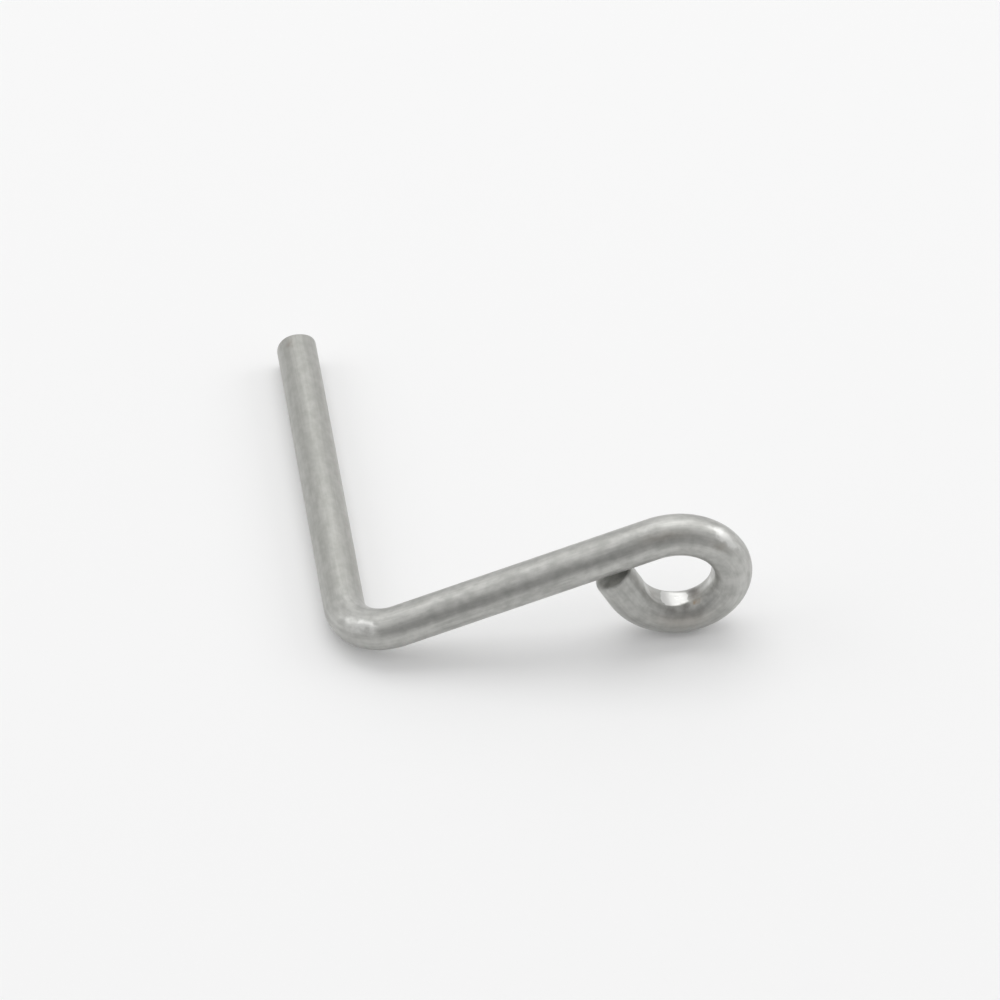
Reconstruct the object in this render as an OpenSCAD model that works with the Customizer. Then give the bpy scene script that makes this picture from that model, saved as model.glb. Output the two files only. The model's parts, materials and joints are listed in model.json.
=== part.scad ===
// Bent wire form: a straight pin, a square corner and an arm that ends in a closed eye.
// It is one length of round steel wire, fed and bent from the pin's tip to the eye's sheared end.
// It is drawn as it lies on a table, on the pin and on the foot of the eye.

/* [Wire] */
// Diameter of the round wire
wire_d = 2; // [1.2:0.1:3]
// Radius of the corner between pin and arm, to the middle of the wire
corner_r = 2.5; // [1.6:0.1:5]

/* [Pin] */
// Reach of the pin, from the outside of the arm to the tip
pin_reach = 22.4; // [14:0.1:40]
// Slant of the sheared tip
tip_slant = 7; // [0:1:15]

/* [Arm] */
// Distance from the middle of the pin to the middle of the hole in the eye
centres = 16; // [12:0.5:40]

/* [Eye] */
// Hole through the eye, which clears a 3 mm screw
hole_d = 3.4; // [2.6:0.1:5]
// Depth to which the hole is reamed into the far side of the eye
ream_far = 0.17; // [0.1:0.01:0.25]
// Depth to which the hole is reamed into the underside of the arm
ream_arm = 0.05; // [0.02:0.01:0.15]
// How much tighter than the hole the far side of the eye is curled
curl_tight = 0.3; // [0.25:0.05:0.4]
// How much wider than the far side the eye begins and ends
curl_open = 0.6; // [0.3:0.1:1]
// Turn of the wide lead into the eye
lead_turn = 80; // [65:0.5:95]
// Turn of the tight far side
tight_turn = 118.5; // [105:0.5:135]
// Turn of the wide run out of the eye
exit_turn = 61.5; // [45:0.5:70]
// Smallest gap left between the eye's square end and the arm
end_gap = 0.05; // [0.05:0.05:0.4]

/* [Hidden] */
$fn = 64;
steel = [0.62, 0.62, 0.59];
square_turn = 90;
half_turn = 180;
three_quarter_turn = 270;
spare_turn = 10;

wire_r = wire_d / 2;
hole_r = hole_d / 2;
pin_l = pin_reach - wire_r;

// The eye's two curves, to the middle of the wire
tight_r = hole_r + wire_r - curl_tight;
open_r = tight_r + curl_open;
tight_end = lead_turn + tight_turn;
full_turn = tight_end + exit_turn;

// A point of the eye's plane at an angle clockwise from straight up
function clockwise(angle, radius) = [radius * sin(angle), radius * cos(angle)];

// Middles of the curves, from where the eye begins: the arm runs along X and the eye hangs below it
lead_c = [0, -open_r];
tight_c = lead_c + clockwise(lead_turn, curl_open);
exit_c = tight_c - clockwise(tight_end, curl_open);
exit_end = exit_c + clockwise(full_turn, open_r);

// The reamer finishes the hole on the arm's underside and on the far side of the eye
hole_c = [tight_c[0] - curl_tight + ream_far, -(wire_r + hole_r - ream_arm)];

// The eye's straight end leans from square to the arm, and is cut where one side of it nearly touches
end_lean = three_quarter_turn - full_turn;
end_drop = wire_r + end_gap + wire_r * abs(sin(end_lean));
end_l = (-end_drop - exit_end[1]) / cos(end_lean);

// The same places from the corner where the middles of pin and arm cross
hole_x = sqrt(centres * centres - hole_c[1] * hole_c[1]);
eye_x = hole_x - hole_c[0];
arm_l = eye_x - corner_r;

// Rise of the arm when the pin and the foot of the eye lie on one level surface
function rise_on(c, r) = atan2(-c[1], c[0]) + asin(r / norm(c));
rise_tight = rise_on(tight_c + [eye_x, 0], tight_r);
rise_exit = rise_on(exit_c + [eye_x, 0], open_r);
rise = half_turn + rise_tight <= tight_end ? rise_tight : rise_exit;

// Block that covers what lies past the end of a run of wire along Z
module past_end() {
    translate([-wire_d, -wire_d, 0])
        cube(2 * wire_d);
}

// Straight run of wire along Z, with whatever follows at its far end
module feed(length) {
    cylinder(h = length, d = wire_d);
    translate([0, 0, length])
        children();
}

// Curve of wire that turns from Z towards X, with whatever follows at its far end
module bend(radius, angle) {
    translate([radius, 0, 0]) {
        difference() {
            rotate([90, 0, 180])
                rotate_extrude(angle = angle + spare_turn)
                    translate([radius, 0])
                        circle(d = wire_d);
            rotate([0, angle, 0])
                translate([-radius, 0, 0])
                    past_end();
        }
        rotate([0, angle, 0])
            translate([-radius, 0, 0])
                children();
    }
}

// Straight run of wire along Z that is sheared through at a slant
module shear(length, slant) {
    difference() {
        cylinder(h = length + wire_d, d = wire_d);
        translate([0, 0, length])
            rotate([0, slant, 0])
                past_end();
    }
}

// Corner, arm and eye, from the start of the corner on
module corner_arm_eye() {
    bend(corner_r, square_turn)
        rotate([0, 0, -90])
            feed(arm_l)
                bend(open_r, lead_turn)
                    bend(tight_r, tight_turn)
                        bend(open_r, exit_turn)
                            feed(end_l);
}

// The whole wire, with pin along Y, arm along X and the corner of their middles at the origin
module bent_wire() {
    translate([0, corner_r, 0]) {
        rotate([90, 0, 0])
            corner_arm_eye();
        rotate([-90, 0, 0])
            shear(pin_l - corner_r, -tip_slant);
    }
}

// What the reamer takes out of the eye
module hole() {
    length = 2 * wire_d;
    translate([hole_x, length / 2, hole_c[1]])
        rotate([90, 0, 0])
            cylinder(h = length, d = hole_d);
}

// The finished wire, lying at rest with the middle of its hole at the origin
module wire_form() {
    color(steel)
        rotate([0, -rise, 0])
            translate([-hole_x, 0, -hole_c[1]])
                difference() {
                    bent_wire();
                    hole();
                }
}

wire_form();
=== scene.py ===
import json
import math

import bpy
import numpy as np
from mathutils import Matrix, Vector


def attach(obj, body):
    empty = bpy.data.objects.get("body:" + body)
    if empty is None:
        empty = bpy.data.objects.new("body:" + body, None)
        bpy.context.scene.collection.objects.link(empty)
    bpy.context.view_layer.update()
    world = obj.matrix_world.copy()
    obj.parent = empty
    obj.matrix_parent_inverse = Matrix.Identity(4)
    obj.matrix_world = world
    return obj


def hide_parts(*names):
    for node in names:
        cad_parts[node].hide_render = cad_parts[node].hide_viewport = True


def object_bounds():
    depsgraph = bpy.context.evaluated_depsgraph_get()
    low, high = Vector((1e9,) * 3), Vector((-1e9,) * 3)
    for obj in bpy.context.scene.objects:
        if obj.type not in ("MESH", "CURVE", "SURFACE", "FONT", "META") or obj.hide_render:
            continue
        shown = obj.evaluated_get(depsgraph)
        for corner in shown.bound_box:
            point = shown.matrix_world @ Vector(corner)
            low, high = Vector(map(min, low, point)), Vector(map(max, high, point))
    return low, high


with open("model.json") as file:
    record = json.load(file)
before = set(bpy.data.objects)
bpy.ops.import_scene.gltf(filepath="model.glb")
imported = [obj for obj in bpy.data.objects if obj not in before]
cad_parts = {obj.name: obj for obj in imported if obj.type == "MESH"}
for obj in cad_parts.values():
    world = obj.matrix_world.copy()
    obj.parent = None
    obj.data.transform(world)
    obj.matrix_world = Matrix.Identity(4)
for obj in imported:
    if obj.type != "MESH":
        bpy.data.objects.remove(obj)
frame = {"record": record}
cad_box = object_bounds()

# The wire: one length of drawn steel wire, bent cold round pins into a straight pin, a square
# corner, an arm and a closed eye, and sheared off at both ends. The eye's hole is reamed to size.
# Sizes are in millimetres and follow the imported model; mounts give the wire, the hole and the rise.
mm_per_m = 1000
mounts = {mount["name"]: mount for mount in frame["record"]["mounts"]}
wire_r = mounts["pin"]["dims"]["r_mm"]
hole_r = mounts["eye"]["dims"]["r_mm"]
pin_x, _, pin_z = mm_per_m * np.array(mounts["pin"]["pos_m"])

pin_reach = 22.4
corner_r = 2.5
centres = math.hypot(pin_x, pin_z)
curl_tight = 0.3
curl_open = 0.6
ream_far = 0.17
ream_arm = 0.05
lead_turn = math.radians(80.0)
tight_turn = math.radians(118.5)
exit_turn = math.radians(61.5)
end_gap = 0.05
square = math.pi / 2

tight_r = hole_r + wire_r - curl_tight
open_r = tight_r + curl_open
end_lean = 3 * square - lead_turn - tight_turn - exit_turn
hole_from_lead = curl_open * math.sin(lead_turn) - curl_tight + ream_far
hole_drop = wire_r + hole_r - ream_arm
hole_x = math.sqrt(centres**2 - hole_drop**2)
rise = math.atan2(-pin_z, -pin_x) + math.atan2(hole_drop, hole_x)

pin_l = pin_reach - wire_r - corner_r
corner_l = corner_r * square
arm_l = hole_x - hole_from_lead - corner_r
lead_l = open_r * lead_turn
tight_l = tight_r * tight_turn
exit_l = open_r * exit_turn


def fed_run(start, length, turn, count):
    """One run of wire: its heading turns evenly by `turn` towards the side vector, so its middle
    moves by sin(a)/a of the length fed along the heading and by (1 - cos a)/a of it sideways.
    Returns the middle, heading and side at even steps, as arrays."""
    middle, heading, side = (np.asarray(v, float) for v in start)
    share = np.linspace(0.0, 1.0, count)[:, None]
    angle = turn * share
    along = length * share * np.sinc(angle / np.pi)
    across = length * share * np.sin(angle / 2) * np.sinc(angle / (2 * np.pi))
    middles = middle + along * heading + across * side
    headings = np.cos(angle) * heading + np.sin(angle) * side
    sides = np.cos(angle) * side - np.sin(angle) * heading
    return middles, headings, sides


def end_of(run):
    """The state at the end of a run, from which the next one is fed."""
    return tuple(part[-1] for part in run)


ring_step = 0.068
around = 128


def rings_in(length):
    """How many rings a run of this length gets."""
    return max(2, round(length / ring_step) + 1)


# The pin and the corner turn in the level plane, the arm and the eye in the upright one.
tip_state = ((0.0, corner_r + pin_l, 0.0), (0.0, -1.0, 0.0), (1.0, 0.0, 0.0))
pin_run = fed_run(tip_state, pin_l, 0.0, rings_in(pin_l))
corner_run = fed_run(end_of(pin_run), corner_l, square, rings_in(corner_l))
corner_end, arm_heading, _ = end_of(corner_run)
down = np.array([0.0, 0.0, -1.0])
arm_run = fed_run((corner_end, arm_heading, down), arm_l, 0.0, rings_in(arm_l))
lead_run = fed_run(end_of(arm_run), lead_l, lead_turn, rings_in(lead_l))
tight_run = fed_run(end_of(lead_run), tight_l, tight_turn, rings_in(tight_l))
exit_run = fed_run(end_of(tight_run), exit_l, exit_turn, rings_in(exit_l))
exit_end, end_heading, _ = end_of(exit_run)
end_drop = wire_r + end_gap + wire_r * abs(math.sin(end_lean))
end_l = (-end_drop - exit_end[2]) / end_heading[2]
end_run = fed_run(end_of(exit_run), end_l, 0.0, rings_in(end_l))

flat_runs = [pin_run, corner_run]
upright_runs = [arm_run, lead_run, tight_run, exit_run, end_run]
runs = flat_runs + upright_runs
lengths = [pin_l, corner_l, arm_l, lead_l, tight_l, exit_l, end_l]
starts = np.concatenate([[0.0], np.cumsum(lengths)])

# Each run drops its last ring, which is the next run's first one.
keep = [slice(None, -1)] * (len(runs) - 1) + [slice(None)]
middle = np.concatenate([run[0][cut] for run, cut in zip(runs, keep)])
heading = np.concatenate([run[1][cut] for run, cut in zip(runs, keep)])
fed = np.concatenate(
    [np.linspace(a, a + n, len(run[0]))[cut] for a, n, run, cut in zip(starts, lengths, runs, keep)]
)
up = np.array([0.0, 0.0, 1.0])
back = np.array([0.0, 1.0, 0.0])
across_u = np.concatenate(
    [run[2][:-1] for run in flat_runs]
    + [np.broadcast_to(back, run[0][cut].shape) for run, cut in zip(upright_runs, keep[2:])]
)
across_v = np.concatenate(
    [np.broadcast_to(up, run[0][:-1].shape) for run in flat_runs]
    + [-run[2][cut] for run, cut in zip(upright_runs, keep[2:])]
)
turn_round = np.linspace(0.0, 2 * np.pi, around, endpoint=False)
cos_round = np.cos(turn_round)[None, :]
sin_round = np.sin(turn_round)[None, :]

# The shear rolls one side of each end over and leaves the rest sharp. The tip is rolled on the side
# away from the eye, and the eye's end on the outside of the curl and a little on its inside.
sharp_edge = 0.04
tip_roll = 0.07
outside_roll = 0.36
inside_roll = 0.1
from_eye = 0.5 - 0.5 * cos_round
outside = 0.5 + 0.5 * sin_round
tip_edge = sharp_edge + tip_roll * from_eye
eye_edge = sharp_edge + outside_roll * outside**4 + inside_roll * (1 - outside) ** 2
edge_rings = 8
face_rings = 14


def sheared_end(edge):
    """Rings of a sheared end, from its rim to its middle: a quarter round of radius `edge`, then
    the flat face. Returns how far each ring stands back from the face, and its radius."""
    quarter = np.linspace(0.0, square, edge_rings)[:, None]
    rim_back = edge * (1 - np.sin(quarter))
    rim_r = wire_r - edge + edge * np.cos(quarter)
    inward = np.linspace(1.0, 0.0, face_rings + 1)[1:-1, None]
    face_r = inward * (wire_r - edge)
    return np.concatenate([rim_back, np.zeros_like(face_r)]), np.concatenate([rim_r, face_r])


tip_back, tip_r = sheared_end(tip_edge)
eye_back, eye_r = sheared_end(eye_edge)


def with_ends(values, first, last):
    """A column of values along the wire, repeated for the rings of its two sheared ends."""
    return np.concatenate([np.repeat(values[:1], first, 0), values, np.repeat(values[-1:], last, 0)])


tip_count, eye_count = len(tip_back) - 1, len(eye_back) - 1
middle = with_ends(middle, tip_count, eye_count)
heading = with_ends(heading, tip_count, eye_count)
across_u = with_ends(across_u, tip_count, eye_count)
across_v = with_ends(across_v, tip_count, eye_count)
fed = with_ends(fed, tip_count, eye_count)[:, None]

radius = np.full((len(fed), around), wire_r)
radius[:tip_count] = tip_r[:0:-1]
radius[len(fed) - eye_count:] = eye_r[1:]

# The bending die pressed a small flat on the corner's outer side, with a sharper edge towards the arm.
die_side = math.radians(143.0)
die_from, die_to = 20.2, 22.2
die_run_in, die_run_out = 1.1, 0.55
die_depth = 0.09
die_clear = 0.1
die_edge = 0.09
least_cos = 0.2


def ease(share):
    """Smooth step from 0 to 1: three times the square of the share less twice its cube."""
    share = np.clip(share, 0.0, 1.0)
    return share * share * (3 - 2 * share)


pressed = ease((fed - die_from) / die_run_in) * ease((die_to - fed) / die_run_out)
flat = wire_r + die_clear - (die_clear + die_depth) * pressed
flat = flat / np.maximum(np.cos(turn_round - die_side), least_cos)[None, :]
radius = 0.5 * (radius + flat - np.sqrt((radius - flat) ** 2 + die_edge**2))

# The tip is cut almost square, and drawn out a little on the side where the shear came through.
# That moves the rings near the end most.
tip_slant = math.radians(1.7)
tip_run = 3.0
tip_past = 0.015
pull_from = 0.3
pull_rate = 0.3
tip_share = np.clip(1 - fed / tip_run, 0.0, 1.0)
eye_share = np.clip((fed - starts[-2]) / end_l, 0.0, 1.0)
tip_stand = np.repeat(tip_back[:1], len(fed), 0)
tip_stand[:tip_count] = tip_back[:0:-1]
eye_stand = np.repeat(eye_back[:1], len(fed), 0)
eye_stand[len(fed) - eye_count:] = eye_back[1:]
drawn_out = tip_past + pull_rate * np.maximum(radius * cos_round - pull_from, 0.0) ** 2
shift = tip_share * (tip_stand - drawn_out + math.tan(tip_slant) * radius * cos_round)
shift -= eye_share * eye_stand

point = (
    middle[:, None]
    + shift[..., None] * heading[:, None]
    + (radius * cos_round)[..., None] * across_u[:, None]
    + (radius * sin_round)[..., None] * across_v[:, None]
)

# The reamer pushes what stands inside the hole out to its wall, with the corner a little broken.
broken = 0.02
from_hole = point[..., [0, 2]] - np.array([hole_x, -hole_drop])
reach = np.linalg.norm(from_hole, axis=-1)
wall = 0.5 * (reach + hole_r + np.sqrt((reach - hole_r) ** 2 + broken**2))
near_wall = hole_r + 10 * broken
reamed = np.where(reach < near_wall, wall, reach)
point[..., [0, 2]] += from_hole * ((reamed - reach) / reach)[..., None]
land = np.clip((reamed - reach) / (2 * broken), 0.0, 1.0)

# From the corner's own axes to the part's: the middle of the hole is the origin, the arm rises.
point -= np.array([hole_x, 0.0, -hole_drop])
row_x = point[..., 0] * math.cos(rise) - point[..., 2] * math.sin(rise)
row_z = point[..., 0] * math.sin(rise) + point[..., 2] * math.cos(rise)
ring_points = np.stack([row_x, point[..., 1], row_z], axis=-1) / mm_per_m

# Where each point lay on the straight wire before it was bent: the drawing lines follow it.
drawn = np.stack([fed + shift, radius * cos_round, radius * sin_round], axis=-1)
cut_face = np.zeros_like(radius)
cut_face[:tip_count] = 1.0
cut_face[len(fed) - eye_count:] = 1.0


def ring_mesh(name, rings, point_values):
    """A closed tube: each ring is joined to the next by quads and each end ring to its own middle by
    a fan. point_values maps an attribute's name to one value or vector for each ring point."""
    count, sides = rings.shape[:2]
    ends = np.stack([rings[0].mean(0), rings[-1].mean(0)])
    vertices = np.concatenate([rings.reshape(-1, 3), ends])
    ring, side = np.meshgrid(np.arange(count - 1), np.arange(sides), indexing="ij")
    beside = (side + 1) % sides
    this, following = ring * sides, (ring + 1) * sides
    quads = np.stack([this + side, this + beside, following + beside, following + side], axis=-1)
    step = np.arange(sides)
    after = (step + 1) % sides
    last = (count - 1) * sides
    first_fan = np.stack([np.full(sides, count * sides), after, step], axis=-1)
    last_fan = np.stack([np.full(sides, count * sides + 1), last + step, last + after], axis=-1)
    faces = quads.reshape(-1, 4).tolist() + first_fan.tolist() + last_fan.tolist()
    mesh = bpy.data.meshes.new(name)
    mesh.from_pydata(vertices.tolist(), [], faces)
    for key, values in point_values.items():
        width = values.shape[2:] or (1,)
        flat = values.reshape(-1, *width)
        closed = np.concatenate([flat, flat[:sides].mean(0)[None], flat[-sides:].mean(0)[None]])
        kind, field = ("FLOAT_VECTOR", "vector") if width == (3,) else ("FLOAT", "value")
        attribute = mesh.attributes.new(key, kind, "POINT")
        attribute.data.foreach_set(field, closed.astype(np.float32).ravel())
    mesh.polygons.foreach_set("use_smooth", np.ones(len(mesh.polygons), dtype=bool))
    mesh.update()
    return mesh


class Shade:
    """A value inside a material. Arithmetic on it adds Math nodes, and node() adds any other node."""

    def __init__(self, tree, socket=None):
        self.tree = tree
        self.socket = socket

    def node(self, kind, inputs, output=0, **settings):
        """A node of any kind: its settings come first, then the values or links of its sockets."""
        made = self.tree.nodes.new(kind)
        for key, value in settings.items():
            setattr(made, key, value)
        for key, value in inputs.items():
            if isinstance(value, Shade):
                self.tree.links.new(value.socket, made.inputs[key])
            else:
                made.inputs[key].default_value = value
        return Shade(self.tree, made.outputs[output])

    def math(self, operation, first, second):
        """One Math node on two values."""
        return self.node("ShaderNodeMath", {0: first, 1: second}, operation=operation)

    def __add__(self, other):
        return self.math("ADD", self, other)

    def __sub__(self, other):
        return self.math("SUBTRACT", self, other)

    def __mul__(self, other):
        return self.math("MULTIPLY", self, other)

    def __rsub__(self, other):
        return self.math("SUBTRACT", other, self)

    __radd__ = __add__
    __rmul__ = __mul__

    def stretched(self, scale):
        """This vector with each part multiplied by its own number."""
        return self.node("ShaderNodeVectorMath", {0: self, 1: scale}, operation="MULTIPLY")

    def grain(self, scale, detail):
        """Noise on this vector, from 0 to 1."""
        return self.node("ShaderNodeTexNoise", {"Vector": self, "Scale": scale, "Detail": detail})

    def ease(self, low, high):
        """0 below low, 1 above high and a smooth step between."""
        return self.node(
            "ShaderNodeMapRange",
            {"Value": self, "From Min": low, "From Max": high},
            interpolation_type="SMOOTHSTEP",
        )

    def shaken(self, scale, reach):
        """This vector moved about by noise, so that a mark on it gets an uneven edge."""
        grain = {"Vector": self, "Scale": scale, "Detail": 4.0}
        noise = self.node("ShaderNodeTexNoise", grain, output="Color")
        level = noise.node("ShaderNodeVectorMath", {0: noise, 1: (0.5, 0.5, 0.5)}, operation="SUBTRACT")
        moved = level.stretched((reach, reach, reach))
        return moved.node("ShaderNodeVectorMath", {0: moved, 1: self}, operation="ADD")

    def near(self, place, size):
        """1 at a place on this vector and 0 outside an ellipsoid of that size round it."""
        apart = self.node("ShaderNodeVectorMath", {0: self, 1: place}, operation="SUBTRACT")
        scaled = apart.stretched([1 / part for part in size])
        far = scaled.node("ShaderNodeVectorMath", {0: scaled}, output="Value", operation="LENGTH")
        return 1 - far.ease(0.0, 1.0)

    def tint(self, first, second):
        """Colour that goes from the first to the second as this value goes from 0 to 1."""
        return self.node("ShaderNodeMix", {0: self, 6: first, 7: second}, output=2, data_type="RGBA")


wire_steel = bpy.data.materials.new("drawn_steel")
wire_steel.use_nodes = True
steel_tree = wire_steel.node_tree
steel = steel_tree.nodes["Principled BSDF"]
start = Shade(steel_tree)
along = start.node("ShaderNodeAttribute", {}, output="Vector", attribute_name="drawn")
on_land = start.node("ShaderNodeAttribute", {}, output="Fac", attribute_name="land")
on_cut = start.node("ShaderNodeAttribute", {}, output="Fac", attribute_name="cut_face")

wide_lines = along.stretched((0.16, 3.0, 3.0)).grain(1.0, 3.0)
fine_lines = along.stretched((0.5, 16.0, 16.0)).grain(1.0, 3.0)
mottle = along.stretched((2.0, 2.6, 2.6)).grain(1.0, 5.0)
streaks = along.stretched((0.45, 6.0, 6.0)).grain(1.0, 3.0)
specks = along.grain(5.0, 3.0)
tone = (0.25 * wide_lines + 0.1 * fine_lines + 0.2 * streaks + 0.45 * mottle).ease(0.34, 0.66)


def on_wire(fed_mm, side_degrees):
    """A place on the wire's surface, on the straight wire: how far from the tip, and which side."""
    side = math.radians(side_degrees)
    return (fed_mm, wire_r * math.cos(side), wire_r * math.sin(side))


def marks(surface, places):
    """The sum of marks on the wire. Each has a strength, a distance from the tip, a side in degrees
    and a size along the wire and across it, and fades from its middle to nothing at its rim."""
    spots = [
        strength * surface.near(on_wire(fed_mm, side), (length, width, depth))
        for strength, fed_mm, side, length, width, depth in places
    ]
    return sum(spots[1:], spots[0])


# The wire is rubbed bright where the bending tools slid. These marks are also painted highlights on the
# corner and the eye, and the two at the eye's end are painted highlight alone.
uneven = along.shaken(2.0, 0.7)
corner_rub_and_highlight = [
    (0.9, 21.1, 118, 2.1, 0.5, 0.5),
    (0.7, 21.3, 142, 1.6, 0.6, 0.6),
    (0.5, 21.7, 117, 0.6, 0.35, 0.35),
]
eye_rub_and_highlight = [
    (1.7, 38.6, 114, 1.0, 0.6, 0.6),
    (0.7, 39.4, 124, 1.4, 0.4, 0.4),
    (0.5, 40.3, 144, 1.8, 0.3, 0.3),
    (0.3, 41.9, 188, 1.2, 0.4, 0.25),
]
end_highlight = [
    (0.35, 49.3, 165, 1.0, 0.8, 0.8),
    (0.7, 49.7, 212, 0.35, 0.3, 0.3),
]
rubbed_and_highlit = (marks(uneven, corner_rub_and_highlight + eye_rub_and_highlight + end_highlight) * (0.5 + specks)).ease(0.0, 1.5)

# The land in the hole is polished at the foot of the eye, where its lighter colour is also a painted
# highlight, and a painted highlight lies on its far side.
foot_polish_and_highlight = uneven.near(on_wire(45.25, 270), (1.7, 1.6, 1.6)).ease(0.3, 0.45)
side_highlight = marks(along, [(0.9, 42.3, 270, 1.3, 1.0, 1.0)])
polished_and_highlit = on_land * (foot_polish_and_highlight + side_highlight)

# Oil stays on the arm's end and in the eye, with darker spots and a little rust round the land. The
# darker mark near the tip, among the oil marks, is painted shade.
oil_and_shade_marks = [
    (0.4, 0.6, 98, 0.6, 0.4, 0.4),
    (0.4, 36.2, 136, 2.0, 0.55, 0.55),
    (0.4, 38.6, 148, 0.9, 0.45, 0.45),
    (0.4, 43.6, 260, 1.2, 0.9, 0.7),
    (0.3, 46.9, 272, 0.9, 0.9, 0.9),
]
oiled_and_shaded = marks(uneven, oil_and_shade_marks) * (0.6 + 0.8 * specks)
# Darker spots at the land's front edge and on its far side.
land_dark_spots = [
    (0.25, 45.0, 233, 1.6, 0.5, 0.5),
    (0.4, 45.7, 226, 0.5, 0.5, 0.5),
    (0.4, 44.6, 236, 0.7, 0.5, 0.5),
]
dark_spotted = marks(uneven, land_dark_spots) + marks(along, [(0.65, 43.8, 284, 0.9, 0.9, 0.9)])
# The foot of the eye is tinted darker as painted shade, where the steel mirrors the shadowed table.
shaded_foot = along.near(on_wire(45.0, 195), (3.5, 0.9, 0.9))
rusty = uneven.near(on_wire(43.8, 241), (0.8, 0.3, 0.3)) * specks

dull_steel = (0.4, 0.4, 0.382, 1.0)
pale_steel = (0.565, 0.565, 0.542, 1.0)
# The pin's two steel colours are a darker copy of the steel, as painted shade over the whole pin.
shaded_dull_pin = (0.402, 0.402, 0.377, 1.0)
shaded_pale_pin = (0.495, 0.495, 0.47, 1.0)
# The bright steel colour is for rubbed and polished steel, and it also paints highlights.
rubbed_and_highlight_steel = (0.78, 0.78, 0.76, 1.0)
# The oil brown also paints shade near the tip and at the eye's foot.
oil_and_shade_brown = (0.27, 0.23, 0.19, 1.0)
rust_brown = (0.44, 0.32, 0.2, 1.0)
dark_spot_grey = (0.14, 0.13, 0.12, 1.0)
from_tip = along.node("ShaderNodeSeparateXYZ", {0: along}, output="X")
on_bends = from_tip.ease(17.5, 20.5)
# The pin takes the darker copy of the steel, which is painted shade.
colour = on_bends.tint(tone.tint(shaded_dull_pin, shaded_pale_pin), tone.tint(dull_steel, pale_steel))
# Rubbed and polished places are lightened, and this lightening is partly painted highlight.
colour = (0.7 * rubbed_and_highlit + 0.9 * polished_and_highlit).ease(0.0, 1.0).tint(colour, rubbed_and_highlight_steel)
# The foot's darker tint here is painted shade, and so is the mark near the tip.
colour = (0.4 * shaded_foot + oiled_and_shaded).ease(0.0, 1.0).tint(colour, oil_and_shade_brown)
colour = rusty.ease(0.0, 0.9).tint(colour, rust_brown)
colour = dark_spotted.ease(0.0, 1.0).tint(colour, dark_spot_grey)
steel_tree.links.new(colour.socket, steel.inputs["Base Color"])
smoother = 0.06 * on_bends + 0.06 * tone + 0.12 * rubbed_and_highlit + 0.1 * on_land + 0.12 * polished_and_highlit
rougher = 0.1 * on_cut + 0.2 * oiled_and_shaded
roughness = 0.6 + rougher - smoother
steel_tree.links.new(roughness.socket, steel.inputs["Roughness"])
steel.inputs["Metallic"].default_value = 1.0
steel.inputs["Coat Weight"].default_value = 0.5
steel.inputs["Coat Roughness"].default_value = 0.35
relief = 0.35 * fine_lines + 0.25 * wide_lines + 0.4 * specks
relief_m = 0.000014
bump = relief.node("ShaderNodeBump", {"Height": relief, "Strength": 1.0, "Distance": relief_m})
steel_tree.links.new(bump.socket, steel.inputs["Normal"])

wire_values = {"drawn": drawn, "land": land, "cut_face": cut_face}
wire = bpy.data.objects.new("bent_wire", ring_mesh("bent_wire", ring_points, wire_values))
bpy.context.scene.collection.objects.link(wire)
wire.data.materials.append(wire_steel)
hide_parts("wire_form")
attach(wire, "root")

# The table top: a plain pale sheet of matt board that the wire lies on.
# It is wide enough that its edge is never seen.
table_z = cad_box[0].z
table_half = 0.6
table_mesh = bpy.data.meshes.new("table_top")
corners = [(-1, -1), (1, -1), (1, 1), (-1, 1)]
table_points = [(x * table_half, y * table_half, table_z) for x, y in corners]
table_mesh.from_pydata(table_points, [], [(0, 1, 2, 3)])
table_top = bpy.data.objects.new("table_top", table_mesh)
bpy.context.scene.collection.objects.link(table_top)
table_white = bpy.data.materials.new("table_white")
table_white.use_nodes = True
table_tree = table_white.node_tree
table_colour = (0.92, 0.92, 0.92, 1.0)
table_shader = table_tree.nodes["Principled BSDF"]
table_shader.inputs["Base Color"].default_value = table_colour
table_shader.inputs["Roughness"].default_value = 0.9
table_shader.inputs["Specular IOR Level"].default_value = 0.1

# Seen straight or mirrored in the steel, a little of its white is its own, so that shadows stay soft.
own_white = 0.12
table = Shade(table_tree)
seen = table.node("ShaderNodeLightPath", {}, output="Is Camera Ray")
mirrored = table.node("ShaderNodeLightPath", {}, output="Is Glossy Ray")
through = table.node("ShaderNodeLightPath", {}, output="Is Transmission Ray")
glow = table.node("ShaderNodeEmission", {"Color": table_colour, "Strength": 1.0})
lit = Shade(table_tree, table_shader.outputs["BSDF"])
shown = table.node("ShaderNodeMixShader", {0: own_white * (seen + mirrored + through), 1: lit, 2: glow})
table_tree.links.new(shown.socket, table_tree.nodes["Material Output"].inputs["Surface"])
table_mesh.materials.append(table_white)

# The lamps: soft boxes round the table, the largest one over the part and a little behind it.
# The pale room is dimmer on its open side, in front of the table.
middle_of_part = (cad_box[0] + cad_box[1]) / 2


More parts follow.
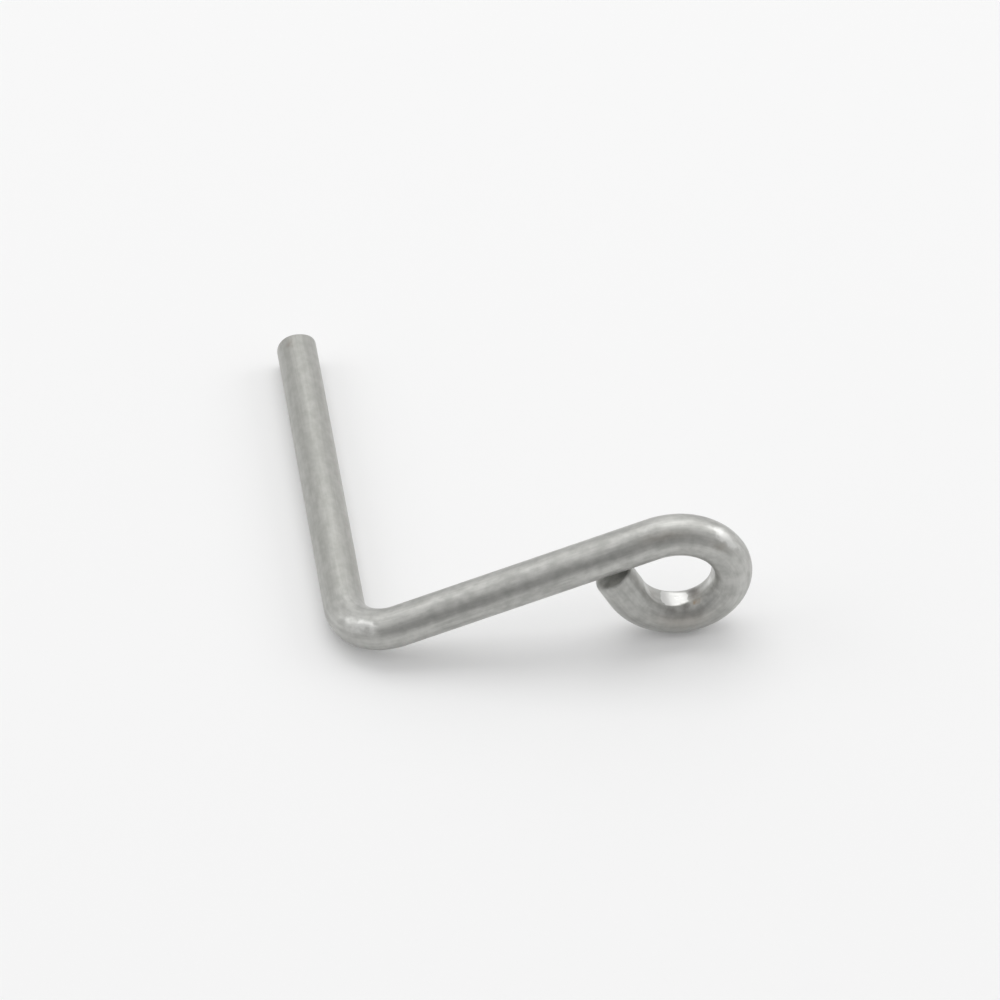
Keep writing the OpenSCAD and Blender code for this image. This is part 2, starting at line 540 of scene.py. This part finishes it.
def soft_box(name, azimuth, elevation, distance, width, height, watts):
    """A rectangular lamp that faces the part from an azimuth, 0 being the -Y side, and an elevation."""
    turn, lift = math.radians(azimuth), math.radians(elevation)
    level_part = math.cos(lift)
    towards = Vector((math.sin(turn) * level_part, -math.cos(turn) * level_part, math.sin(lift)))
    lamp = bpy.data.lights.new(name, "AREA")
    lamp.shape = "RECTANGLE"
    lamp.size = width
    lamp.size_y = height
    lamp.energy = watts
    held = bpy.data.objects.new(name, lamp)
    held.matrix_world = Matrix.Translation(middle_of_part + distance * towards) @ (
        towards.to_track_quat("Z", "Y").to_matrix().to_4x4()
    )
    bpy.context.scene.collection.objects.link(held)


soft_box("top_box", 172, 68, 0.6, 0.62, 0.4, 1.2)
soft_box("front_box", 350, 62, 0.6, 0.4, 0.3, 0.23)
soft_box("back_box", 167, 34, 0.5, 0.3, 0.24, 0.09)
soft_box("left_box", 262, 34, 0.5, 0.36, 0.28, 0.32)
soft_box("right_box", 100, 32, 0.5, 0.3, 0.22, 0.36)

room = bpy.data.worlds.new("room")
bpy.context.scene.world = room
room.use_nodes = True
sky = room.node_tree.nodes["Background"]
sky.inputs["Color"].default_value = (1.0, 1.0, 1.0, 1.0)
open_side = (-0.15, -0.96, 0.24)
look = Shade(room.node_tree).node("ShaderNodeTexCoord", {}, output="Generated")
room_pale = 0.62
room_dimmer = 0.42
towards_open = look.node(
    "ShaderNodeVectorMath", {0: look, 1: open_side}, output="Value", operation="DOT_PRODUCT"
)
room_level = room_pale - room_dimmer * towards_open.ease(0.5, 0.95)
room.node_tree.links.new(room_level.socket, sky.inputs["Strength"])

# The camera: a long lens that looks down on the part, from a little to the left of the arm's front.
# It aims at the table between the pin and the arm.
camera_azimuth = math.radians(8.784)
camera_elevation = math.radians(42.698)
camera_roll = math.radians(0.797)
camera_distance = 0.32781
aim = Vector((-0.00711, 0.01006, table_z))
forward = Vector(
    (
        math.sin(camera_azimuth) * math.cos(camera_elevation),
        math.cos(camera_azimuth) * math.cos(camera_elevation),
        -math.sin(camera_elevation),
    )
)
level = forward.cross(Vector((0, 0, 1))).normalized()
above = level.cross(forward)
right = math.cos(camera_roll) * level + math.sin(camera_roll) * above
top = right.cross(forward)
lens = bpy.data.cameras.new("camera")
lens.lens = 240.0
lens.sensor_width = 36.0
camera = bpy.data.objects.new("camera", lens)
camera.matrix_world = Matrix.Translation(aim - camera_distance * forward) @ (
    Matrix((right, top, -forward)).transposed().to_4x4()
)
bpy.context.scene.collection.objects.link(camera)
bpy.context.scene.camera = camera
bpy.context.scene.view_settings.view_transform = "Standard"
